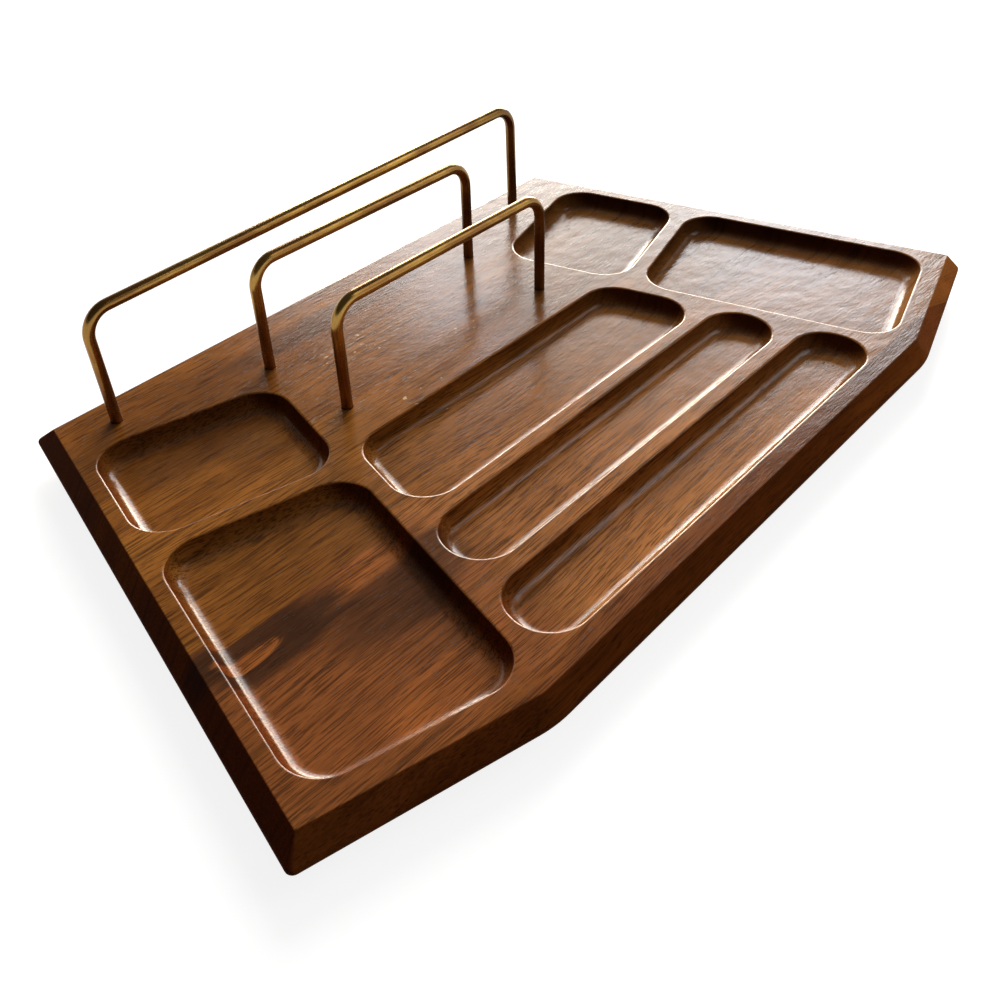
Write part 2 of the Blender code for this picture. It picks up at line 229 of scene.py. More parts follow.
# Walnut: pale, middle and dark colour of each stave
REAR_TONES = ((0.340, 0.128, 0.023), (0.220, 0.076, 0.013), (0.034, 0.011, 0.003))
MIDDLE_TONES = ((0.450, 0.172, 0.036), (0.320, 0.115, 0.023), (0.036, 0.012, 0.003))
FRONT_TONES = ((0.280, 0.092, 0.018), (0.180, 0.055, 0.012), (0.036, 0.011, 0.004))

# Walnut: patches of each stave
ORANGE = (0.400, 0.125, 0.026)
RED_BROWN = (0.230, 0.072, 0.020)
UMBER = (0.050, 0.020, 0.009)
CREAM = (0.640, 0.430, 0.230)
REAR_PATCHES = [
    Patch(-0.020, 0.096, 0.080, 0.010, UMBER, 0.5),
    Patch(-0.110, 0.085, 0.060, 0.030, UMBER, 0.25),
    Patch(-0.030, 0.066, 0.026, 0.012, CREAM, flecks=True),
    Patch(-0.036, 0.018, 0.020, 0.009, CREAM, flecks=True),
    Patch(0.011, 0.038, 0.014, 0.008, CREAM, flecks=True),
]
MIDDLE_PATCHES = [
    Patch(-0.165, -0.070, 0.085, 0.090, RED_BROWN, 0.85),
    Patch(-0.122, -0.034, 0.020, 0.009, ORANGE, 0.9),
    Patch(-0.125, -0.054, 0.040, 0.018, UMBER, 0.70),
    Patch(-0.172, -0.036, 0.040, 0.015, UMBER, 0.90),
    Patch(-0.180, -0.036, 0.015, 0.004, ORANGE, 0.75, swell=0.004),
    Patch(-0.140, -0.092, 0.040, 0.013, ORANGE, 0.45),
]

# Walnut: tones, heart of the tree seen along the board, shift of the grain, patches
STAVES = {
    "rear": (REAR_TONES, (0.55, -0.05), 0.31, REAR_PATCHES),
    "middle": (MIDDLE_TONES, (-0.55, -0.07), 1.47, MIDDLE_PATCHES),
    "front": (FRONT_TONES, (-0.50, -0.10), 2.63, []),
}

# Brass: repeats per metre along the rod and across it
TARNISH = (40.0, 160.0, 160.0)
DRAWN_LINES = (60.0, 3000.0, 3000.0)
BRASS_SPECKS = (900.0, 900.0, 900.0)

# Brass: colours, and painted shade on the posts by their share of the rod's length
BRASS_BRIGHT = (0.48, 0.290, 0.070)
BRASS_DULL = (0.25, 0.122, 0.032)
BRASS_SPECK = (0.10, 0.040, 0.012)
DULL_STEP = (0.32, 0.68)
SPECK_STEP = (0.62, 0.76)
SPECK_SHARE = 0.5
LEFT_POST = (0.26, 0.10)
RIGHT_POST = (0.70, 0.84)
LEFT_POST_PAINTED_SHADE = (0.62, 0.50, 0.48)
RIGHT_POST_PAINTED_SHADE = (0.32, 0.26, 0.26)

# Brass: relief, shine and roughness
BRASS_RELIEF = 0.00002
BRASS_RELIEF_STRENGTH = 0.6
SPECK_RELIEF = 0.5
TARNISH_MATT = 0.20
BRASS_ROUGH = 0.18
TARNISH_ROUGH = 0.12
SPECK_ROUGH_STEP = (0.6, 0.8, 0.0, 0.12)

# Rubber: repeats per metre, colours, relief and roughness
RUBBER_GRAIN = (2400.0, 2400.0, 2400.0)
RUBBER_DUST = (300.0, 300.0, 300.0)
DUST_STEP = (0.45, 0.75)
RUBBER_BLACK = (0.014, 0.014, 0.015)
RUBBER_DUSTY = (0.040, 0.038, 0.036)
RUBBER_RELIEF = 0.00003
RUBBER_RELIEF_STRENGTH = 0.7
RUBBER_ROUGH = 0.62
RUBBER_GRAIN_ROUGH = 0.25

# Studio: a floor that is white where it is looked at, paler from the object outwards
STUDIO_RADIUS = 22.0
STUDIO_HEIGHT = 10.0
STUDIO_SIDES = 96
STUDIO_GREY = (0.19, 0.18, 0.175, 1.0)
FLOOR_GREY = (0.34, 0.34, 0.34, 1.0)
WALL_WHITE = (1.0, 1.0, 1.0, 1.0)
FLOOR_FADE = (0.7, 2.5, 0.86, 1.0)

# Light: soft panels behind and over the board, and a faint room
LAMPS = [
    Lamp("low_window", 38.0, 9.0, 5.0, 3.64, 1.08, 17.5, (1.0, 0.88, 0.70)),
    Lamp("window", 37.0, 21.9, 5.0, 3.52, 1.19, 4.2, (1.0, 0.97, 0.93)),
    Lamp("pane", 45.0, 30.0, 4.9, 0.45, 0.30, 5.5, (0.76, 0.87, 1.0)),
    Lamp("sky", 23.5, 27.0, 4.8, 0.95, 0.60, 2.4, (0.66, 0.80, 1.0)),
    Lamp("upper_window", 27.0, 32.0, 5.0, 2.05, 0.50, 1.9, (1.0, 0.97, 0.92)),
    Lamp("wall", -38.0, 41.0, 2.0, 1.2, 0.9, 1.4, (1.0, 0.93, 0.90)),
    Lamp("ceiling", -5.0, 80.0, 1.40, 1.5, 1.5, 0.15, (0.98, 0.96, 1.0), False),
    Lamp("daylight", 34.0, 37.0, 1.2, 0.72, 0.72, 8.9, (1.0, 0.97, 0.92), False),
]
ROOM_COLOUR = (1.0, 0.98, 0.96, 1.0)
ROOM_STRENGTH = 0.06

# Light: watts that a square metre of panel takes for each unit of radiance
POWER_OF_RADIANCE = 4.0

# Camera: place and turn that the photograph was fitted with
CAMERA_PLACE = (-0.301335, -0.260823, 0.289320)
CAMERA_RIGHT = (0.657693, -0.753005, -0.020567)
CAMERA_UP = (0.502018, 0.417792, 0.757250)
SENSOR_WIDTH = 36.0
FOCAL_LENGTH = 39.21
NEAREST_SEEN = 0.01


# Node trees


class Nodes:
    """Node tree in which every node comes from one method."""

    def __init__(self, tree):
        self.tree = tree

    def add(self, kind, settings=None, sockets=None):
        """New node: first its settings are made, then its sockets' values or links."""
        node = self.tree.nodes.new(kind)
        for name, value in (settings or {}).items():
            setattr(node, name, value)
        for name, value in (sockets or {}).items():
            socket = node.inputs[name]
            if isinstance(value, Wire):
                value = value.socket
            if isinstance(value, bpy.types.NodeSocket):
                self.tree.links.new(value, socket)
            else:
                socket.default_value = value
        return node


class Wire:
    """A number on its way through a node tree: sums on it become Math nodes."""

    def __init__(self, nodes, socket):
        self.nodes = nodes
        self.socket = socket

    def sum(self, operation, *values):
        """Result of one Math node."""
        sockets = dict(enumerate(values))
        node = self.nodes.add("ShaderNodeMath", {"operation": operation}, sockets)
        return Wire(self.nodes, node.outputs[0])

    def __add__(self, other):
        return self.sum("ADD", self, other)

    def __radd__(self, other):
        return self.sum("ADD", other, self)

    def __sub__(self, other):
        return self.sum("SUBTRACT", self, other)

    def __rsub__(self, other):
        return self.sum("SUBTRACT", other, self)

    def __mul__(self, other):
        return self.sum("MULTIPLY", self, other)

    def __rmul__(self, other):
        return self.sum("MULTIPLY", other, self)

    def __truediv__(self, other):
        return self.sum("DIVIDE", self, other)

    def __pow__(self, other):
        return self.sum("POWER", self, other)

    def larger(self, other):
        """The larger of two numbers."""
        return self.sum("MAXIMUM", self, other)

    def size(self):
        """The number without its sign."""
        return self.sum("ABSOLUTE", self)

    def ramp(self, start, end, low=0.0, high=1.0):
        """Soft step from low at start to high at end."""
        sockets = {"Value": self, "From Min": start, "From Max": end}
        sockets.update({"To Min": low, "To Max": high})
        settings = {"interpolation_type": "SMOOTHSTEP"}
        node = self.nodes.add("ShaderNodeMapRange", settings, sockets)
        return Wire(self.nodes, node.outputs[0])


class Finish(Nodes):
    """Node tree of one material."""

    def __init__(self, name):
        self.material = bpy.data.materials.new(name)
        self.material.use_nodes = True
        super().__init__(self.material.node_tree)
        self.tree.nodes.clear()

    def read(self, kind, output):
        """What a node without inputs gives."""
        return Wire(self, self.add(kind).outputs[output])

    def attribute(self, name, output="Fac"):
        """Value stored on the mesh under this name."""
        node = self.add("ShaderNodeAttribute", {"attribute_name": name})
        return Wire(self, node.outputs[output])

    def split(self, vector):
        """Three parts of a vector as numbers."""
        parts = self.add("ShaderNodeSeparateXYZ", None, {0: vector}).outputs
        return [Wire(self, part) for part in parts]

    def places(self):
        """X, Y and Z of the surface."""
        return self.split(self.read("ShaderNodeTexCoord", "Object"))

    def widths(self, place, repeats):
        """Place in widths of a pattern that repeats this often in a metre."""
        sockets = {index: part * repeats[index] for index, part in enumerate(place)}
        return self.add("ShaderNodeCombineXYZ", None, sockets).outputs[0]

    def noise(self, place, repeats, detail=2.0, roughness=0.5):
        """Cloudy noise about 0.5."""
        sockets = {"Vector": self.widths(place, repeats), "Scale": 1.0}
        sockets.update({"Detail": detail, "Roughness": roughness})
        node = self.add("ShaderNodeTexNoise", {"noise_dimensions": "3D"}, sockets)
        return Wire(self, node.outputs[0])

    def cells(self, place, repeats):
        """Distance to the nearest of scattered points, in pattern widths."""
        sockets = {"Vector": self.widths(place, repeats), "Scale": 1.0}
        sockets["Randomness"] = 1.0
        node = self.add("ShaderNodeTexVoronoi", {"voronoi_dimensions": "3D"}, sockets)
        return Wire(self, node.outputs["Distance"])

    def blend(self, factor, first, second, kind="MIX"):
        """Colour between two others."""
        settings = {"data_type": "RGBA", "blend_type": kind}
        sockets = {0: factor}
        for index, colour in ((6, first), (7, second)):
            sockets[index] = (*colour, 1.0) if isinstance(colour, tuple) else colour
        return self.add("ShaderNodeMix", settings, sockets).outputs[2]

    def tint(self, factor, colour, other):
        """Colour multiplied by another to this share."""
        return self.blend(factor, colour, other, "MULTIPLY")

    def grey(self, level):
        """Colour of this level in all three parts."""
        sockets = {0: level, 1: level, 2: level}
        return self.add("ShaderNodeCombineColor", None, sockets).outputs[0]

    def bump(self, height, distance, strength=1.0):
        """Normal of a surface with this relief."""
        sockets = {"Strength": strength, "Distance": distance, "Height": height}
        return self.add("ShaderNodeBump", None, sockets).outputs[0]

    def shader(self, kind, sockets):
        """What a shader node gives."""
        return self.add(kind, None, sockets).outputs[0]

    def close(self, shader):
        """Finished material with this shader on its surface."""
        self.add("ShaderNodeOutputMaterial", None, {"Surface": shader})
        return self.material


# Finishes


def oval(x, y, patch, fray=0.0):
    """Soft oval about a patch, 1 in its middle, with a frayed rim."""
    off_x = (x - patch.x) / patch.length
    off_y = (y - patch.y) / patch.width
    away = off_x * off_x + off_y * off_y
    return (away + fray).ramp(*OVAL_STEP)


class Grain:
    """Patterns of a stave, in its solid: deck, coves and floors show the same wood."""

    def __init__(self, finish, pith, shift, patches):
        self.place = x, y, z = finish.places()
        run = x + shift
        slow = finish.noise((run, y, z), SLOW_WANDER, detail=1.0)
        quick = finish.noise((run, y, z), QUICK_WANDER)
        wander = (slow - 0.5) * SLOW_SWAY + (quick - 0.5) * QUICK_SWAY
        across = y + wander
        depth = z + wander * SWAY_IN_DEPTH
        off_y = across - pith[0]
        off_z = depth - pith[1]
        ring = (off_y * off_y + off_z * off_z) ** 0.5
        for patch in patches:
            if patch.swell:
                ring = ring + oval(x, y, patch) * patch.swell
        wood = (run, across, depth)
        self.broad = finish.noise((run, ring, shift), BROAD_RINGS, roughness=0.6)
        self.streak = finish.noise((run, ring, depth), STREAKS, roughness=0.55)
        self.line = finish.noise(wood, LINES)
        self.hair = finish.noise(wood, HAIRS)
        self.figure = finish.noise(wood, FIGURE)
        self.ripple = finish.noise(wood, RIPPLES)
        self.fleck = finish.noise(self.place, FLECKS, detail=1.0)
        self.swell = finish.noise(self.place, SWELLS, detail=1.0)
        pore = finish.cells(wood, PORES)
        self.pore = pore.ramp(*PORE_STEP) * self.streak.ramp(*PORE_ZONE)


def walnut(name, tones, pith, shift, patches):
    """Walnut, oiled all over and polished on its level faces.

    tones are the pale, middle and dark colours. pith is where the heart of the tree
    lies, seen along the board. shift slides the grain, so that no two staves are alike.
    """
    finish = Finish(name)
    grain = Grain(finish, pith, shift, patches)
    edge = finish.attribute("edge")
    # far rises to the right: it carries painted shade, painted glare and more relief
    far = grain.place[0].ramp(*FAR_SIDE)
    normal = finish.split(finish.read("ShaderNodeNewGeometry", "Normal"))
    colour = walnut_colour(finish, grain, tones, patches, far, edge)
    colour = walnut_tints(finish, grain, colour, normal, far, edge)
    relief = grain.ripple * (1.0 + far * RIPPLE_GAIN_FAR)
    relief = relief + grain.swell * far * SWELL_GAIN_FAR
    relief = relief + grain.line * LINE_RELIEF + grain.hair * HAIR_RELIEF
    relief = relief - grain.pore * PORE_RELIEF
    rough = POLISHED_ROUGH + grain.ripple * POLISHED_RIPPLE + grain.pore * POLISHED_PORE
    skin = {"Base Color": colour, "Roughness": rough}
    skin["Normal"] = finish.bump(relief, WOOD_RELIEF)
    polished = finish.shader("ShaderNodeBsdfPrincipled", skin)
    skin["Roughness"] = DULL_ROUGH + grain.ripple * DULL_RIPPLE
    skin["Specular IOR Level"] = DULL_SPECULAR
    dull = finish.shader("ShaderNodeBsdfPrincipled", skin)
    mixed = {0: unpolished(finish, normal[2], edge), 1: polished, 2: dull}
    return finish.close(finish.shader("ShaderNodeMixShader", mixed))


def walnut_colour(finish, grain, tones, patches, far, edge):
    """Rings, patches, streaks, lines and flecks of the wood."""
    pale, middle, dark = tones
    x, y = grain.place[:2]
    colour = finish.blend(grain.broad.ramp(*BROAD_STEP), pale, middle)
    fray = (grain.broad - 0.5) * BROAD_FRAY + (grain.streak - 0.5) * STREAK_FRAY
    fray = fray + (grain.line - 0.5) * LINE_FRAY
    for patch in patches:
        if not patch.flecks:
            mask = oval(x, y, patch, fray) * patch.share
            colour = finish.blend(mask, colour, patch.tone)
    colour = finish.blend(grain.streak.ramp(*STREAK_STEP) * STREAK_SHARE, colour, dark)
    # Painted glare: the dark lines fade on the far side
    clear = LINE_SHARE - far * FAR_GLARE_LINE_LOSS - edge * LINE_LOSS_EDGE
    colour = finish.blend(grain.line.ramp(*LINE_STEP) * clear, colour, dark)
    for patch in patches:
        if patch.flecks:
            mask = oval(x, y, patch, fray) * grain.fleck.ramp(*FLECK_STEP)
            colour = finish.blend(mask, colour, patch.tone)
    return colour


def walnut_tints(finish, grain, colour, normal, far, edge):
    """Fine tones of the wood, and the tints of its edges and end grain.

    Painted shade darkens its far side and the edges that face away.
    """
    to_right, to_rear = normal[:2]
    tone = PLAIN_TONE + grain.hair * HAIR_TONE + grain.figure * FIGURE_TONE
    tone = tone * (1.0 - grain.pore * PORE_TONE)
    away = to_right.ramp(*FACES_AWAY).larger(to_rear.ramp(*FACES_AWAY))
    colour = finish.tint(1.0, colour, finish.grey(tone))
    # Painted shade: the far side, apart from its edges, is darkened and cooled
    colour = finish.tint(far * (1.0 - edge), colour, FAR_PAINTED_SHADE)
    colour = finish.tint(edge, colour, EDGE_TINT)
    # Painted shade: edges that face the lamps, to the right and rear, are darkened
    colour = finish.tint(away * edge, colour, AWAY_PAINTED_SHADE)
    return finish.tint(to_right.size().ramp(*END_GRAIN), colour, END_GRAIN_TINT)


def unpolished(finish, level, edge):
    """1 on the edges and steep coves, and on level faces that are seen very low."""
    facing = finish.add("ShaderNodeLayerWeight", None, {"Blend": 0.5}).outputs["Facing"]
    grazing = Wire(finish, facing).ramp(*GRAZING) * level.ramp(*LEVEL)
    return level.ramp(*STEEP).larger(grazing).larger(edge)


def brass():
    """Brass darkened with handling and drawn lengthwise; painted shade on its posts."""
    finish = Finish("aged_brass")
    across, up = finish.split(finish.attribute("round", "Vector"))[:2]
    share = finish.attribute("share")
    rod = (finish.attribute("along"), across, up)
    tarnish = finish.noise(rod, TARNISH, detail=3.0, roughness=0.6)
    drawn = finish.noise(rod, DRAWN_LINES)
    specks = finish.noise(rod, BRASS_SPECKS)
    colour = finish.blend(tarnish.ramp(*DULL_STEP), BRASS_BRIGHT, BRASS_DULL)
    colour = finish.blend(specks.ramp(*SPECK_STEP) * SPECK_SHARE, colour, BRASS_SPECK)
    # Painted shade: the posts are darkened, the right one most, for a dark room they
    # mirror
    colour = finish.tint(share.ramp(*RIGHT_POST), colour, RIGHT_POST_PAINTED_SHADE)
    colour = finish.tint(share.ramp(*LEFT_POST), colour, LEFT_POST_PAINTED_SHADE)
    relief = drawn + specks * SPECK_RELIEF
    rough = BRASS_ROUGH + tarnish * TARNISH_ROUGH + specks.ramp(*SPECK_ROUGH_STEP)
    skin = {"Base Color": colour, "Roughness": rough}
    skin["Metallic"] = 1.0 - tarnish * TARNISH_MATT
    skin["Normal"] = finish.bump(relief, BRASS_RELIEF, BRASS_RELIEF_STRENGTH)
    return finish.close(finish.shader("ShaderNodeBsdfPrincipled", skin))


def rubber():
    """Matt black rubber with a fine moulded grain."""
    finish = Finish("bumper_rubber")
    place = finish.places()
    grain = finish.noise(place, RUBBER_GRAIN)
    dust = finish.noise(place, RUBBER_DUST, detail=3.0)
    colour = finish.blend(dust.ramp(*DUST_STEP), RUBBER_BLACK, RUBBER_DUSTY)
    rough = RUBBER_ROUGH + grain * RUBBER_GRAIN_ROUGH
    skin = {"Base Color": colour, "Roughness": rough}
    skin["Normal"] = finish.bump(grain, RUBBER_RELIEF, RUBBER_RELIEF_STRENGTH)
    return finish.close(finish.shader("ShaderNodeBsdfPrincipled", skin))


def studio_skin(finish, shown):
    """Finish that the camera, mirrors and glass see, and a grey for all other light."""
    path = finish.add("ShaderNodeLightPath").outputs
    seen = Wire(finish, path["Is Camera Ray"])
    for kind in ("Is Glossy Ray", "Is Transmission Ray"):
        seen = seen.larger(Wire(finish, path[kind]))
    grey = finish.shader("ShaderNodeBsdfDiffuse", {"Color": STUDIO_GREY})
    mixed = {0: seen, 1: grey, 2: shown}
    return finish.close(finish.shader("ShaderNodeMixShader", mixed))


def studio_floor():
    """Pale floor: white where it is looked at or mirrored, with the object's shadow."""
    finish = Finish("studio_floor")
    x, y = finish.places()[:2]
    white = finish.grey(((x * x + y * y) ** 0.5).ramp(*FLOOR_FADE))
    glow = finish.shader("ShaderNodeEmission", {"Color": white, "Strength": 1.0})
    sheet = finish.shader("ShaderNodeBsdfDiffuse", {"Color": FLOOR_GREY})
    bright = finish.shader("ShaderNodeAddShader", {0: glow, 1: sheet})
    return studio_skin(finish, bright)


def studio_backdrop():
    """White wall for the camera and for mirrors, which lights nothing."""
    finish = Finish("studio_backdrop")
    glow = finish.shader("ShaderNodeEmission", {"Color": WALL_WHITE, "Strength": 1.0})
    return studio_skin(finish, glow)


# Outlines


def along(angle):
    """Unit vector at this angle from +X."""
    return Vector((math.cos(angle), math.sin(angle)))


def meet(point_a, way_a, point_b, way_b):
    """Point where two lines cross."""
    gap = point_b - point_a
    reach = gap.cross(way_b) / way_a.cross(way_b)
    return point_a + way_a * reach


def offset_outline(points, outsets):
    """Anticlockwise outline with side i, from point i to the next, moved outwards."""
    count = len(points)
    lines = []
    for index, point in enumerate(points):
        way = (points[(index + 1) % count] - point).normalized()
        outward = Vector((way.y, -way.x))
        lines.append((point + outward * outsets[index], way))
    return [meet(*lines[index - 1], *lines[index]) for index in range(count)]


def corner_turns(points):
    """Half the turn of an anticlockwise outline at each corner, and the way into it."""
    turns = []
    count = len(points)
    for index, point in enumerate(points):
        into = (point - points[index - 1]).normalized()
        out = (points[(index + 1) % count] - point).normalized()
        turns.append((math.atan2(into.cross(out), into.dot(out)) / 2.0, into))
    return turns


def corner_centres(points, radius):
    """Centre, first angle and turn of the arc that rounds each corner."""
    arcs = []
    for point, (half, into) in zip(points, corner_turns(points)):
        outward = Vector((into.y, -into.x))
        start = point - into * radius * math.tan(half)
        centre = start - outward * radius
        arcs.append((centre, math.atan2(outward.y, outward.x), half * 2.0))
    return arcs


def largest_radius(points):
    """Largest radius that all the corners of an outline can share."""
    turns = [abs(math.tan(half)) for half, into in corner_turns(points)]
    count = len(points)
    limits = []
    for index, point in enumerate(points):
        after = (index + 1) % count
        limits.append((points[after] - point).length / (turns[index] + turns[after]))
    return min(limits)


def round_outline(points, radii, steps):
    """Outline with an arc of its own radius at each corner."""
    outline = []
    for index, radius in enumerate(radii):
        centre, first, turn = corner_centres(points, radius)[index]
        for step in range(steps + 1):
            outline.append(centre + along(first + turn * step / steps) * radius)
    return outline


def loft(name, sections):
    """Closed body through outlines of equal counts, each given with its height."""
    work = bmesh.new()
    loops = []
    for outline, height in sections:
        loops.append([work.verts.new((point.x, point.y, height)) for point in outline])
    for lower, upper in zip(loops, loops[1:]):
        count = len(lower)
        for index in range(count):
            after = (index + 1) % count
            work.faces.new((lower[index], lower[after], upper[after], upper[index]))
    work.faces.new(reversed(loops[0]))
    work.faces.new(loops[-1])
    bmesh.ops.recalc_face_normals(work, faces=work.faces)
    mesh = bpy.data.meshes.new(name)
    work.to_mesh(mesh)
    work.free()
    return mesh


# Board


def deck_outline():
    """Sharp corners of the deck, anticlockwise from the rear left one."""
    side = Vector((-math.sin(WING_ANGLE), -math.cos(WING_ANGLE)))
    front = Vector((math.cos(WING_ANGLE), -math.sin(WING_ANGLE)))
    rear_left = Vector((-REAR_EDGE_LENGTH / 2.0, 0.0))
    wing_left = rear_left + side * SIDE_EDGE_LENGTH
    bend_left = wing_left + front * WING_FRONT_LENGTH
    left = [rear_left, wing_left, bend_left]
    right = [Vector((-point.x, point.y)) for point in reversed(left)]
    return left + right


def edge_turn(corner, first, last, radius, steps):
    """Arc of the board's edge section between faces whose normals have these angles."""
    half = (first - last) / 2.0
    middle = (first + last) / 2.0
    reach = radius / math.cos(half)
    outset = corner[0] - reach * math.cos(middle)
    depth = corner[1] + reach * math.sin(middle)
    points = []
    for step in range(steps + 1):
        angle = first + (last - first) * step / steps
        across, down = radius * math.cos(angle), radius * math.sin(angle)
        points.append((outset + across, depth - down))
    return points


def edge_section():
    """Outset and depth of the board's edge, from the deck down to the underside."""
    bevel = math.atan2(BEVEL_RUN, BEVEL_DROP)
    under_drop = BOARD_THICKNESS - BEVEL_DROP
    undercut = -math.atan2(UNDERCUT_RUN, under_drop)
    up = math.pi / 2.0
    waist = (BEVEL_RUN, BEVEL_DROP)
    base = (BEVEL_RUN - UNDERCUT_RUN, BOARD_THICKNESS)
    section = edge_turn((0.0, 0.0), up, bevel, DECK_EDGE_RADIUS, EDGE_STEPS)
    section += edge_turn(waist, bevel, undercut, WAIST_EDGE_RADIUS, 2 * EDGE_STEPS)
    section += edge_turn(base, undercut, -up, BASE_EDGE_RADIUS, EDGE_STEPS)
    return section


def waist_point():
    """Outset and depth of the widest point of the edge section."""
    return max(edge_section())


def rear_outset(outset, depth):
    """Outset on the rear edge, whose bevel is the wider one."""
    widest, waist_depth = waist_point()
    rear_widest = widest * REAR_BEVEL_RUN / BEVEL_RUN
    if depth < waist_depth:
        return outset * REAR_BEVEL_RUN / BEVEL_RUN
    return outset + rear_widest - widest


def board_blank():
    """The glued-up board before any tray is cut."""
    corners = deck_outline()
    waist_depth = waist_point()[1]
    sections = []
    for outset, depth in reversed(edge_section()):
        outsets = [outset] * (len(corners) - 1) + [rear_outset(outset, depth)]
        share = min(depth / waist_depth, 1.0)
        sharp = DECK_CORNER_RADIUS + (WAIST_CORNER_RADIUS - DECK_CORNER_RADIUS) * share
        bend = DECK_CORNER_RADIUS + (WAIST_BEND_RADIUS - DECK_CORNER_RADIUS) * share
        radii = [sharp, sharp, bend, bend, sharp, sharp]
        outline = round_outline(offset_outline(corners, outsets), radii, CORNER_STEPS)
        sections.append((outline, -depth))
    return loft("board_blank", sections)


# Trays


def tray_cutter(name, corners):
    """Solid that a coved bit sweeps inside a straight-sided outline."""
    radius = min(TRAY_CORNER_RADIUS, largest_radius(corners))
    cove = min(COVE_RADIUS, radius)
    wall = TRAY_DEPTH - RIM_DEPTH - cove
    top = math.acos(max(-wall / cove, 0.0))
    arcs = corner_centres(corners, radius)

    def ring(inset):
        points = []
        for centre, first, turn in arcs:
            for step in range(TRAY_CORNER_STEPS + 1):
                way = along(first + turn * step / TRAY_CORNER_STEPS)
                points.append(centre + way * (radius - inset))
        return points

    sections = []
    for step in range(COVE_STEPS):
        angle = top * step / COVE_STEPS
        inset = cove * (math.sin(top) - math.sin(angle))
        sections.append((ring(inset), -TRAY_DEPTH + cove * (1.0 - math.cos(angle))))
    if wall > 0.0:
        sections.append((ring(0.0), -TRAY_DEPTH + cove))
    rim_step = math.pi / 2.0 / RIM_STEPS
    for step in range(RIM_STEPS):
        outset = RIM_WIDTH * (1.0 - math.cos(rim_step * step))
        sections.append((ring(-outset), RIM_DEPTH * (math.sin(rim_step * step) - 1.0)))
    above = OVERRUN * math.tan(rim_step / 2.0) * RIM_DEPTH / RIM_WIDTH
    sections.append((ring(-RIM_WIDTH - OVERRUN), above))
    return loft(name, sections)


def wing_point(side, from_side, from_front):
    """Point of a wing, measured square to its side edge and to its front edge."""
    corner = deck_outline()[1]
    inward = Vector((math.cos(WING_ANGLE), -math.sin(WING_ANGLE)))
    backward = Vector((math.sin(WING_ANGLE), math.cos(WING_ANGLE)))
    point = corner + inward * from_side + backward * from_front
    return Vector((point.x * -side, point.y))


def wing_tray(side, from_front, length):
    """Corners of a tray of the left (-1) or right (1) wing, anticlockwise."""
    outer = WING_SIDE_MARGIN
    inner = outer + WING_TRAY_WIDTH
    rear = from_front + length
    places = [(outer, from_front), (inner, from_front), (inner, rear), (outer, rear)]
    corners = [wing_point(side, *place) for place in places]
    if side > 0:
        corners.reverse()
    return corners


def slot(front, width, end_web):
    """Corners of a slot whose ends keep a web to the trays of the wings."""
    reach = WING_SIDE_MARGIN + WING_TRAY_WIDTH + end_web
    start = wing_point(-1, reach, 0.0)
    way = Vector((math.sin(WING_ANGLE), math.cos(WING_ANGLE)))
    level = Vector((1.0, 0.0))
    low = meet(start, way, Vector((0.0, front)), level)
    high = meet(start, way, Vector((0.0, front + width)), level)
    return [low, Vector((-low.x, low.y)), Vector((-high.x, high.y)), high]


def slot_fronts():
    """Places of the slots' front sides: front, middle and rear slot."""
    front_slot = deck_outline()[2].y + SLOT_FRONT_MARGIN
    middle_slot = front_slot + FRONT_SLOT_WIDTH + FRONT_SLOT_WEB
    rear_slot = middle_slot + MIDDLE_SLOT_WIDTH + REAR_SLOT_WEB
    return front_slot, middle_slot, rear_slot


def tray_outlines():
    """Corners of the seven recesses: the three slots, then two trays in each wing."""
    front_slot, middle_slot, rear_slot = slot_fronts()
    outlines = [
        slot(front_slot, FRONT_SLOT_WIDTH, SLOT_END_WEB),
        slot(middle_slot, MIDDLE_SLOT_WIDTH, SLOT_END_WEB),
        slot(rear_slot, REAR_SLOT_WIDTH, REAR_SLOT_END_WEB),
    ]
    room = SIDE_EDGE_LENGTH - WING_FRONT_MARGIN - WING_REAR_MARGIN - WING_TRAY_WEB
    large_length = room * LARGE_TRAY_SHARE
    small_front = WING_FRONT_MARGIN + large_length + WING_TRAY_WEB
    for side in (-1, 1):
        outlines.append(wing_tray(side, WING_FRONT_MARGIN, large_length))
        outlines.append(wing_tray(side, small_front, room - large_length))
    return outlines


# Letter rack


def rails():
    """Span, place on the deck, height and tilt of each rod of the rack."""
    rear_span = REAR_EDGE_LENGTH - 2.0 * REAR_RAIL_MARGIN
    slots_rear = slot_fronts()[2] + REAR_SLOT_WIDTH
    rear = Vector((REAR_RAIL_OFFSET, -REAR_RAIL_SETBACK, 0.0))
    middle = Vector((MIDDLE_RAIL_OFFSET, -MIDDLE_RAIL_SETBACK, 0.0))
    front = Vector((FRONT_RAIL_OFFSET, slots_rear + FRONT_RAIL_CLEARANCE, 0.0))
    return {
        "rear_rail": (rear_span, rear, REAR_RAIL_HEIGHT, REAR_RAIL_TILT),
        "middle_rail": (MIDDLE_RAIL_SPAN, middle, MIDDLE_RAIL_HEIGHT, 0.0),
        "front_rail": (FRONT_RAIL_SPAN, front, FRONT_RAIL_HEIGHT, 0.0),
    }


def rail_stance(place, tilt):
    """Move from a rod's own axes to its place; the tilt lifts its right end."""
    return Matrix.Translation(place) @ Matrix.Rotation(-tilt, 4, "Y")


def seat_cutter(name, span, place, tilt, side):
    """Blind hole for one end of a rod, bored along its post."""
    radius = ROD_DIAMETER / 2.0 + ROD_CLEARANCE
    centre = Vector((side * span / 2.0, 0.0))
    turns = [math.tau * index / ROD_SIDES for index in range(ROD_SIDES)]
    outline = [centre + along(turn) * radius for turn in turns]
    mouth = span * math.sin(tilt) + OVERRUN
    mesh = loft(name, [(outline, -ROD_SEAT_DEPTH - ROD_CLEARANCE), (outline, mouth)])
    mesh.transform(rail_stance(place, tilt))
    return mesh


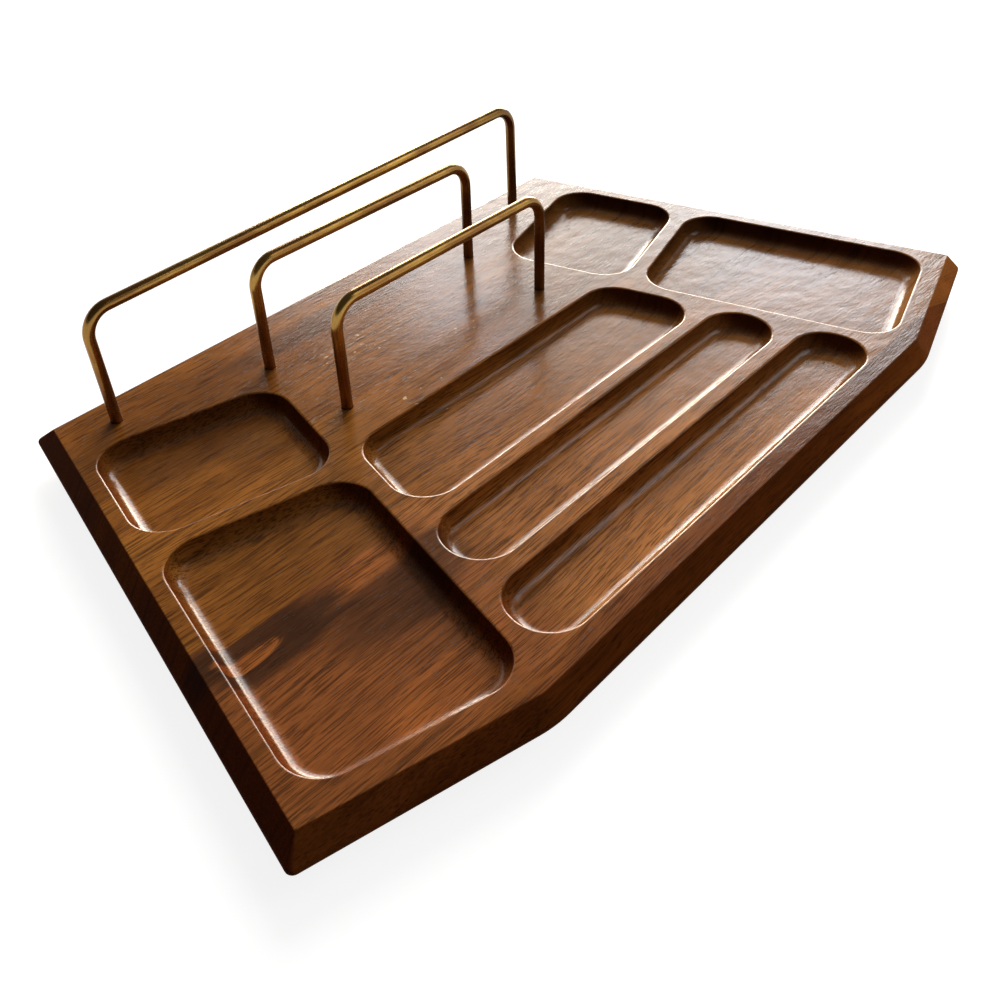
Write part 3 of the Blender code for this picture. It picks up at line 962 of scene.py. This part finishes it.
class Growth(Nodes):
    """Geometry node tree with named inputs, built step by step."""

    def __init__(self, name):
        super().__init__(bpy.data.node_groups.new(name, "GeometryNodeTree"))
        self.ask_for("Geometry", "OUTPUT", "NodeSocketGeometry")
        self.entry = self.add("NodeGroupInput")

    def ask_for(self, name, way, kind):
        """New socket of the tree itself."""
        self.tree.interface.new_socket(name, in_out=way, socket_type=kind)

    def ask(self, name, kind="NodeSocketFloat"):
        """Named input of the tree."""
        self.ask_for(name, "INPUT", kind)
        return Wire(self, self.entry.outputs[name])

    def grow(self, kind, sockets=None, output=0, **settings):
        """Result of a new node."""
        return self.add(kind, settings, sockets).outputs[output]

    def mark(self, geometry, name, value, kind="FLOAT"):
        """Geometry with a value stored on its points."""
        sockets = {"Geometry": geometry, "Name": name, "Value": value}
        settings = {"data_type": kind, "domain": "POINT"}
        return self.grow("GeometryNodeStoreNamedAttribute", sockets, **settings)

    def close(self, geometry, finish):
        """Realized result with its finish."""
        geometry = self.grow("GeometryNodeRealizeInstances", {0: geometry})
        sockets = {"Geometry": geometry, "Material": finish}
        geometry = self.grow("GeometryNodeSetMaterial", sockets)
        self.add("NodeGroupOutput", None, {0: geometry})
        return self.tree


def bent_rod_tree():
    """Rod bent twice: two posts and a bar on one filleted line.

    along is the way run on the rod, share is the same as a part of the whole, and
    round is the place in its section.
    """
    growth = Growth("bent_rod")
    span = growth.ask("Span")
    height = growth.ask("Post height")
    seat = growth.ask("Seat depth")
    bend = growth.ask("Bend radius")
    diameter = growth.ask("Rod diameter")
    bend_steps = growth.ask("Bend facets", "NodeSocketInt")
    sides = growth.ask("Sides", "NodeSocketInt")
    finish = growth.ask("Finish", "NodeSocketMaterial")

    right = span * 0.5
    left = span * -0.5
    down = seat * -1.0
    stops = []
    for across, level in ((left, down), (left, height), (right, height), (right, down)):
        stops.append(growth.grow("ShaderNodeCombineXYZ", {0: across, 2: level}))
    corners = {"Point %d" % (index + 1): stop for index, stop in enumerate(stops)}
    shape = "GeometryNodeCurvePrimitiveQuadrilateral"
    line = growth.grow(shape, corners, mode="POINTS")
    opened = {"Geometry": line, "Cyclic": False}
    line = growth.grow("GeometryNodeSetSplineCyclic", opened)
    fillet = {"Curve": line, "Count": bend_steps, "Radius": bend}
    line = growth.grow("GeometryNodeFilletCurve", fillet, mode="POLY")
    for name, output in (("along", "Length"), ("share", "Factor")):
        run = growth.grow("GeometryNodeSplineParameter", output=output)
        line = growth.mark(line, name, run)

    circle = {"Resolution": sides, "Radius": diameter * 0.5}
    ring = growth.grow("GeometryNodeCurvePrimitiveCircle", circle, mode="RADIUS")
    spot = growth.grow("GeometryNodeInputPosition")
    ring = growth.mark(ring, "round", spot, "FLOAT_VECTOR")

    sweep = {"Curve": line, "Profile Curve": ring, "Fill Caps": True}
    rod = growth.grow("GeometryNodeCurveToMesh", sweep)
    smooth = {"Geometry": rod, "Shade Smooth": True}
    rod = growth.grow("GeometryNodeSetShadeSmooth", smooth)
    return growth.close(rod, finish)


def grown_mesh(name, tree, sizes):
    """Plain mesh of a tree run with these inputs."""
    holder = bpy.data.objects.new(name, bpy.data.meshes.new(name))
    bpy.context.scene.collection.objects.link(holder)
    modifier = holder.modifiers.new("growth", "NODES")
    modifier.node_group = tree
    for item in tree.interface.items_tree:
        if item.in_out == "INPUT" and item.name in sizes:
            modifier[item.identifier] = sizes[item.name]
    mesh = plain_mesh(name, holder)
    bpy.data.objects.remove(holder)
    return mesh


def plain_mesh(name, item):
    """Mesh of an object with its modifiers worked in."""
    graph = bpy.context.evaluated_depsgraph_get()
    mesh = bpy.data.meshes.new_from_object(
        item.evaluated_get(graph), preserve_all_data_layers=True, depsgraph=graph
    )
    mesh.name = name
    return mesh


# Assembly


def deck_place():
    """Move from the deck's middle of the rear top edge to the model's frame."""
    widest = waist_point()[0]
    rear = widest * REAR_BEVEL_RUN / BEVEL_RUN
    front = deck_outline()[2].y - widest
    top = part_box("rear_stave")[1].z
    return Matrix.Translation((0.0, -(rear + front) / 2.0, top))


def add_piece(name, mesh, finish, node, slot_name):
    """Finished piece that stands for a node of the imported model."""
    piece = bpy.data.objects.new(name, mesh)
    bpy.context.scene.collection.objects.link(piece)
    mesh.materials.clear()
    mesh.materials.append(finish)
    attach(piece, "root")
    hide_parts(node)


def add_tool(name, mesh):
    """Object that only helps to make a piece, and is removed again."""
    item = bpy.data.objects.new(name, mesh)
    bpy.context.scene.collection.objects.link(item)
    return item


def join_meshes(name, meshes):
    """One mesh of several bodies."""
    work = bmesh.new()
    for mesh in meshes:
        work.from_mesh(mesh)
    joined = bpy.data.meshes.new(name)
    work.to_mesh(joined)
    work.free()
    return joined


def slab(name, rear, front):
    """Block that a stave fills between two glue lines."""
    reach = REAR_EDGE_LENGTH / 2.0 + SIDE_EDGE_LENGTH + WING_FRONT_LENGTH
    corners = [(-reach, front), (reach, front), (reach, rear), (-reach, rear)]
    outline = [Vector(corner) for corner in corners]
    levels = (-BOARD_THICKNESS - OVERRUN, OVERRUN)
    return loft(name, [(outline, level) for level in levels])


def cut(item, cutter, operation):
    """Boolean of an object with a cutter, left live on it."""
    modifier = item.modifiers.new(cutter.name, "BOOLEAN")
    modifier.operation = operation
    modifier.solver = "EXACT"
    modifier.object = cutter


def stave_sides():
    """Rear and front side of each stave, with half a glue line left on either side."""
    clear = waist_point()[0] + REAR_BEVEL_RUN + OVERRUN
    front_edge = deck_outline()[2].y
    front_line = front_edge + FRONT_STAVE_WIDTH
    rear_line = front_line + MIDDLE_STAVE_WIDTH
    half_line = GLUE_LINE / 2.0
    return {
        "rear": (clear, rear_line + half_line),
        "middle": (rear_line - half_line, front_line + half_line),
        "front": (front_line - half_line, front_edge - clear),
    }


def build_board(finishes):
    """Three staves of one blank, with the trays and the rods' seats cut."""
    blank = board_blank()
    trays = [tray_cutter("tray", corners) for corners in tray_outlines()]
    tray_set = add_tool("tray_cutters", join_meshes("tray_cutters", trays))
    seats = []
    for name, (span, place, height, tilt) in rails().items():
        for side in (-1, 1):
            seats.append(seat_cutter(name + "_seat", span, place, tilt, side))
    seat_set = add_tool("seat_cutters", join_meshes("seat_cutters", seats))
    place = deck_place()
    for name, (rear, front) in stave_sides().items():
        stave = add_tool(name, blank.copy())
        block = add_tool(name + "_slab", slab(name + "_slab", rear, front))
        cut(stave, block, "INTERSECT")
        cut(stave, tray_set, "DIFFERENCE")
        cut(stave, seat_set, "DIFFERENCE")
        mesh = plain_mesh(name, stave)
        bpy.data.objects.remove(stave)
        bpy.data.objects.remove(block)
        mesh = eased(name, mesh)
        mark_edge(mesh)
        mesh.transform(place)
        piece_name = "walnut_" + name + "_stave"
        add_piece(piece_name, mesh, finishes[name], name + "_stave", "walnut_" + name)
    bpy.data.objects.remove(tray_set)
    bpy.data.objects.remove(seat_set)


def shade_softly(mesh):
    """Smooth shading over every edge that isn't sharp."""
    mesh.shade_smooth()
    mesh.set_sharp_from_angle(angle=SHARP_ANGLE)


def eased(name, mesh):
    """Mesh with smooth coves and rims beside flat floors and deck."""
    work = bmesh.new()
    work.from_mesh(mesh)
    bmesh.ops.remove_doubles(work, verts=work.verts, dist=MERGE_DISTANCE)
    work.to_mesh(mesh)
    work.free()
    shade_softly(mesh)
    holder = add_tool(name, mesh)
    modifier = holder.modifiers.new("level_faces", "WEIGHTED_NORMAL")
    modifier.mode = "FACE_AREA"
    modifier.weight = LEVEL_FACE_WEIGHT
    modifier.keep_sharp = True
    result = plain_mesh(name, holder)
    bpy.data.objects.remove(holder)
    return result


def mark_edge(mesh):
    """Mark the faces outside the deck, which are sanded and oiled but not polished."""
    corners = deck_outline()
    sides = []
    for index, corner in enumerate(corners):
        way = (corners[(index + 1) % len(corners)] - corner).normalized()
        sides.append((corner, Vector((way.y, -way.x))))
    marks = mesh.attributes.new("edge", "FLOAT", "FACE")
    for face, mark in zip(mesh.polygons, marks.data):
        spot = face.center.to_2d()
        outset = max((spot - corner).dot(outward) for corner, outward in sides)
        sloped = face.normal.z < math.cos(DECK_SLOPE_LIMIT)
        mark.value = 1.0 if sloped and outset > -GLUE_LINE else 0.0


def build_rack(finish):
    """Three bent rods in their seats."""
    tree = bent_rod_tree()
    place = deck_place()
    for name, (span, stand, height, tilt) in rails().items():
        sizes = {
            "Span": span,
            "Post height": height,
            "Seat depth": ROD_SEAT_DEPTH,
            "Bend radius": ROD_BEND_RADIUS,
            "Rod diameter": ROD_DIAMETER,
            "Bend facets": BEND_STEPS,
            "Sides": ROD_SIDES,
            "Finish": finish,
        }
        mesh = grown_mesh(name, tree, sizes)
        mesh.transform(place @ rail_stance(stand, tilt))
        add_piece("brass_" + name, mesh, finish, name, "brass")


def build_bumpers(finish):
    """Round bumpers with an eased lower edge."""
    radius = FOOT_DIAMETER / 2.0
    turns = [math.tau * index / FOOT_SIDES for index in range(FOOT_SIDES)]
    for corner in ("rear_left", "rear_right", "front_left", "front_right"):
        node = corner + "_foot"
        low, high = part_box(node)
        centre = Vector(((low.x + high.x) / 2.0, (low.y + high.y) / 2.0))
        rings = []
        for step in range(EDGE_STEPS + 1):
            angle = math.pi / 2.0 * step / EDGE_STEPS
            inset = FOOT_EDGE_RADIUS * (1.0 - math.sin(angle))
            rise = FOOT_EDGE_RADIUS * (1.0 - math.cos(angle))
            rings.append((radius - inset, low.z + rise))
        rings.append((radius, high.z))
        sections = []
        for size, level in rings:
            sections.append(([centre + along(turn) * size for turn in turns], level))
        mesh = loft(node, sections)
        shade_softly(mesh)
        add_piece("bumper_" + corner, mesh, finish, node, "rubber")


# Stage


def build_studio():
    """Round floor with a wall about it that fills the view of a low camera."""
    turns = [math.tau * index / STUDIO_SIDES for index in range(STUDIO_SIDES)]
    outline = [along(turn) * STUDIO_RADIUS for turn in turns]
    floor = bmesh.new()
    floor.faces.new([floor.verts.new((point.x, point.y, 0.0)) for point in outline])
    add_stage("studio_floor", floor, studio_floor())
    wall = bmesh.new()
    low = [wall.verts.new((point.x, point.y, 0.0)) for point in outline]
    high = [wall.verts.new((point.x, point.y, STUDIO_HEIGHT)) for point in outline]
    for index in range(STUDIO_SIDES):
        after = (index + 1) % STUDIO_SIDES
        wall.faces.new((low[after], low[index], high[index], high[after]))
    add_stage("studio_backdrop", wall, studio_backdrop())


def add_stage(name, work, finish):
    """Part of the studio, which is no part of the object."""
    mesh = bpy.data.meshes.new(name)
    work.to_mesh(mesh)
    work.free()
    mesh.materials.append(finish)
    item = bpy.data.objects.new(name, mesh)
    bpy.context.scene.collection.objects.link(item)


def add_lamp(lamp):
    """Panel at its place about the board."""
    turn, lift = math.radians(lamp.azimuth), math.radians(lamp.elevation)
    flat = math.cos(lift)
    way = Vector((flat * math.cos(turn), flat * math.sin(turn), math.sin(lift)))
    light = bpy.data.lights.new(lamp.name, "AREA")
    light.shape = "RECTANGLE"
    light.size = lamp.width
    light.size_y = lamp.height
    light.energy = lamp.radiance * POWER_OF_RADIANCE * lamp.width * lamp.height
    light.color = lamp.colour
    item = bpy.data.objects.new(lamp.name, light)
    item.location = way * lamp.distance
    item.rotation_mode = "QUATERNION"
    item.rotation_quaternion = way.to_track_quat("Z", "Y")
    item.visible_glossy = lamp.mirrored
    bpy.context.scene.collection.objects.link(item)


def build_light():
    """Windows and sky behind the board, and a faint room about it."""
    for lamp in LAMPS:
        add_lamp(lamp)
    world = bpy.data.worlds.new("room")
    world.use_nodes = True
    background = world.node_tree.nodes["Background"]
    background.inputs["Color"].default_value = ROOM_COLOUR
    background.inputs["Strength"].default_value = ROOM_STRENGTH
    bpy.context.scene.world = world


def build_camera():
    """Camera over the front left corner, looking to the rear right."""
    right = Vector(CAMERA_RIGHT)
    up = Vector(CAMERA_UP)
    back = right.cross(up)
    camera = bpy.data.cameras.new("camera")
    camera.sensor_width = SENSOR_WIDTH
    camera.lens = FOCAL_LENGTH
    camera.clip_start = NEAREST_SEEN
    item = bpy.data.objects.new("camera", camera)
    axes = Matrix((right, up, back)).transposed().to_4x4()
    item.matrix_world = Matrix.Translation(CAMERA_PLACE) @ axes
    bpy.context.scene.collection.objects.link(item)
    bpy.context.scene.camera = item


def main():
    """The whole caddy on its stage."""
    finishes = {name: walnut("walnut_" + name, *wood) for name, wood in STAVES.items()}
    build_board(finishes)
    build_rack(brass())
    build_bumpers(rubber())
    build_studio()
    build_light()
    build_camera()
    bpy.context.scene.view_settings.view_transform = "Standard"


main()
